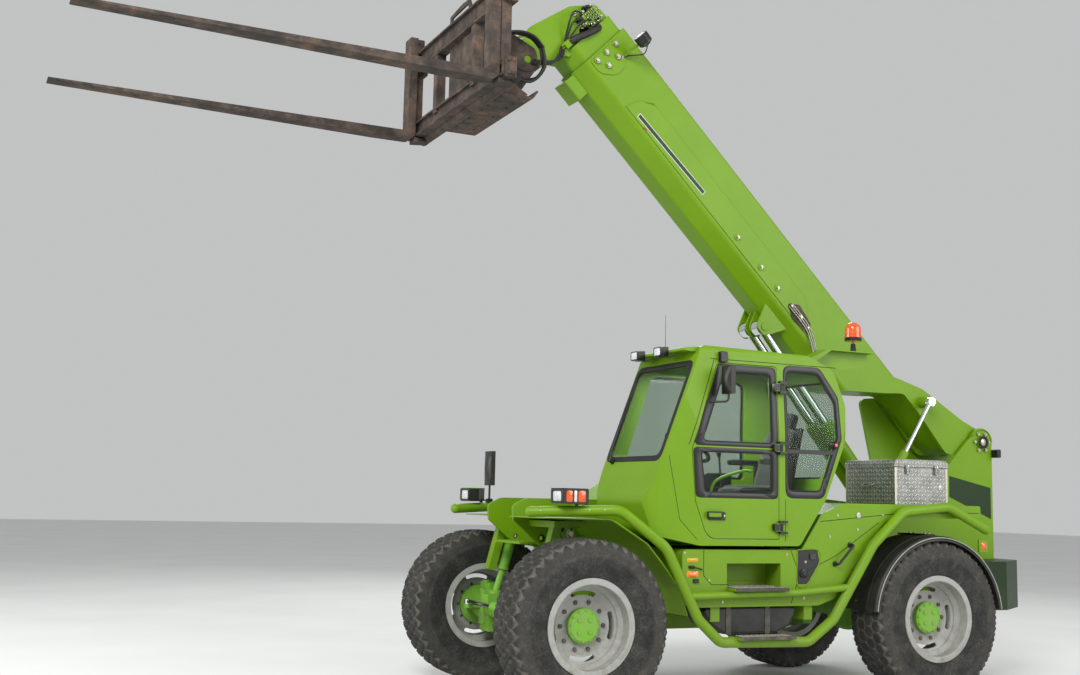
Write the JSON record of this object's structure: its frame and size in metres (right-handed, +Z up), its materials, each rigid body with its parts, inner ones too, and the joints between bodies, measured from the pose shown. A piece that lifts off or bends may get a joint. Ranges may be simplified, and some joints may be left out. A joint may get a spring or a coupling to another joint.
{
  "type": "telehandler",
  "caption": "Telescopic handler with side cab, side engine pod, tube frame round the flanks, rough tyres, raised boom and pallet forks.",
  "frame": {"origin": "on the ground, below the middle of the parked machine with its forks", "axes": "+X to the front where the forks point, +Y to the machine's left where the cab is, +Z up"},
  "size_m": [8.89, 2.522, 5.8257],
  "materials": {
    "lime_paint": "gloss",
    "green_paint": "satin",
    "worn_brown_steel": "rusty",
    "axle_iron": "dusty",
    "silver_paint": "dusty",
    "tyre_rubber": "dusty",
    "black_plastic": "matte",
    "chrome": "polished",
    "tinted_glass": "clear",
    "seat_fabric": "woven",
    "plate_aluminium": "patterned",
    "lamp_plastic": "clear lenses",
    "amber_plastic": "translucent"
  },
  "bodies": {
    "machine": {"front_axle": "lime_paint", "rear_axle": "lime_paint", "chassis_frame": "lime_paint", "suspension_cylinders": "lime_paint", "counterweight": "green_paint", "ring_tubes": "lime_paint", "front_fenders": "lime_paint", "side_body_left": "lime_paint", "engine_hood": "lime_paint", "engine_block": "axle_iron", "tool_box": "plate_aluminium", "cab_shell": "lime_paint", "cab_roof": "lime_paint", "cab_glass": "tinted_glass", "seat_base": "black_plastic", "seat": "seat_fabric", "controls": "black_plastic", "lamps": "lamp_plastic", "beacon": "amber_plastic", "nose_mirror": "black_plastic"},
    "door": {"cab_door": "lime_paint", "door_glass": "tinted_glass", "door_mirror": "black_plastic"},
    "boom": {"boom_outer": "lime_paint"},
    "boom_slide": {"boom_inner": "lime_paint"},
    "tool": {"carriage": "worn_brown_steel", "forks": "worn_brown_steel"},
    "lift_rod_body": {"lift_rods": "chrome"},
    "lift_barrel_body": {"lift_barrels": "lime_paint"},
    "level_barrel_body": {"level_barrel": "lime_paint"},
    "level_rod_body": {"level_rod": "chrome"},
    "tilt_barrel_body": {"tilt_barrel": "lime_paint"},
    "tilt_rod_body": {"tilt_rod": "chrome"},
    "rod_front": {"steering_rod_front": "chrome"},
    "rod_rear": {"steering_rod_rear": "chrome"},
    "knuckle_fl_body": {"knuckle_fl": "lime_paint"},
    "wheel_fl": {"tyre_fl": "tyre_rubber", "rim_fl": "silver_paint", "hub_fl": "lime_paint"},
    "knuckle_fr_body": {"knuckle_fr": "lime_paint"},
    "wheel_fr": {"tyre_fr": "tyre_rubber", "rim_fr": "silver_paint", "hub_fr": "lime_paint"},
    "knuckle_rl_body": {"knuckle_rl": "lime_paint", "mudguard_rl": "black_plastic"},
    "wheel_rl": {"tyre_rl": "tyre_rubber", "rim_rl": "silver_paint", "hub_rl": "lime_paint"},
    "knuckle_rr_body": {"knuckle_rr": "lime_paint", "mudguard_rr": "black_plastic"},
    "wheel_rr": {"tyre_rr": "tyre_rubber", "rim_rr": "silver_paint", "hub_rr": "lime_paint"}
  },
  "joints": [
    {"name": "boom_lift", "type": "hinge", "parent": "machine", "child": "boom", "pos_m": [-4.095, -0.15, 2.185], "axis": [0, -1, 0], "range_deg": [-43, 25.5]},
    {"name": "telescope", "type": "slide", "parent": "boom", "child": "boom_slide", "axis": [0.7157, 0, 0.6984], "range_m": [0, 3.1]},
    {"name": "tool_tilt", "type": "hinge", "parent": "boom_slide", "child": "tool", "pos_m": [0.77542, -0.15, 5.21225], "axis": [0, 1, 0], "range_deg": [-57, 60]},
    {"name": "lift_rod_swing", "type": "hinge", "parent": "boom", "child": "lift_rod_body", "pos_m": [-1.6458, -0.15, 3.13591], "axis": [0, -1, 0], "range_deg": [-1, 1.5]},
    {"name": "lift_stroke", "type": "slide", "parent": "lift_rod_body", "child": "lift_barrel_body", "axis": [-0.6468, 0, -0.7626], "range_m": [-0.94, 0.56]},
    {"name": "level_barrel_swing", "type": "hinge", "parent": "machine", "child": "level_barrel_body", "pos_m": [-2.625, 0.19, 1.33], "axis": [0, -1, 0], "range_deg": [-4, 6.6]},
    {"name": "level_stroke", "type": "slide", "parent": "level_barrel_body", "child": "level_rod_body", "axis": [-0.5391, 0, 0.8422], "range_m": [-0.52, 0.31]},
    {"name": "tilt_barrel_swing", "type": "hinge", "parent": "boom_slide", "child": "tilt_barrel_body", "pos_m": [0.24674, -0.15, 5.63946], "axis": [0, 1, 0], "range_deg": [-2.6, 2.7]},
    {"name": "tilt_stroke", "type": "slide", "parent": "tilt_barrel_body", "child": "tilt_rod_body", "axis": [0.9269, 0, -0.3752], "range_m": [-0.17, 0.18]},
    {"name": "cab_door_hinge", "type": "hinge", "parent": "machine", "child": "door", "pos_m": [-0.993, 1.156, 1.96], "axis": [0, 0, 1], "range_deg": [0, 100]},
    {"name": "steer_fl", "type": "hinge", "parent": "machine", "child": "knuckle_fl_body", "pos_m": [0.67, 0.79, 0.637], "axis": [0, 0, 1], "range_deg": [-35, 35]},
    {"name": "steer_fr", "type": "hinge", "parent": "machine", "child": "knuckle_fr_body", "pos_m": [0.67, -0.79, 0.637], "axis": [0, 0, 1], "range_deg": [-35, 35]},
    {"name": "steer_rl", "type": "hinge", "parent": "machine", "child": "knuckle_rl_body", "pos_m": [-2.565, 0.79, 0.637], "axis": [0, 0, 1], "range_deg": [-35, 35]},
    {"name": "steer_rr", "type": "hinge", "parent": "machine", "child": "knuckle_rr_body", "pos_m": [-2.565, -0.79, 0.637], "axis": [0, 0, 1], "range_deg": [-35, 35]},
    {"name": "rod_front_slide", "type": "slide", "parent": "machine", "child": "rod_front", "axis": [0, 1, 0], "range_m": [-0.1, 0.1]},
    {"name": "rod_rear_slide", "type": "slide", "parent": "machine", "child": "rod_rear", "axis": [0, 1, 0], "range_m": [-0.1, 0.1]},
    {"name": "wheel_fl_spin", "type": "hinge", "parent": "knuckle_fl_body", "child": "wheel_fl", "pos_m": [0.67, 0.998, 0.637], "axis": [0, 1, 0], "continuous": true},
    {"name": "wheel_fr_spin", "type": "hinge", "parent": "knuckle_fr_body", "child": "wheel_fr", "pos_m": [0.67, -0.998, 0.637], "axis": [0, 1, 0], "continuous": true},
    {"name": "wheel_rl_spin", "type": "hinge", "parent": "knuckle_rl_body", "child": "wheel_rl", "pos_m": [-2.565, 0.998, 0.637], "axis": [0, 1, 0], "continuous": true},
    {"name": "wheel_rr_spin", "type": "hinge", "parent": "knuckle_rr_body", "child": "wheel_rr", "pos_m": [-2.565, -0.998, 0.637], "axis": [0, 1, 0], "continuous": true}
  ],
  "couplings": [
    {"joint": "lift_rod_swing", "follows": "boom_lift", "ratio": -0.03},
    {"joint": "lift_stroke", "follows": "boom_lift", "m_per_rad": 1.24},
    {"joint": "level_barrel_swing", "follows": "boom_lift", "ratio": -0.15},
    {"joint": "level_stroke", "follows": "boom_lift", "m_per_rad": 0.68},
    {"joint": "tilt_barrel_swing", "follows": "tool_tilt", "ratio": 0.043},
    {"joint": "tilt_stroke", "follows": "tool_tilt", "m_per_rad": 0.166},
    {"joint": "steer_fr", "follows": "steer_fl", "ratio": 1},
    {"joint": "rod_front_slide", "follows": "steer_fl", "m_per_rad": 0.1596},
    {"joint": "steer_rr", "follows": "steer_rl", "ratio": 1},
    {"joint": "rod_rear_slide", "follows": "steer_rl", "m_per_rad": -0.1596}
  ]
}
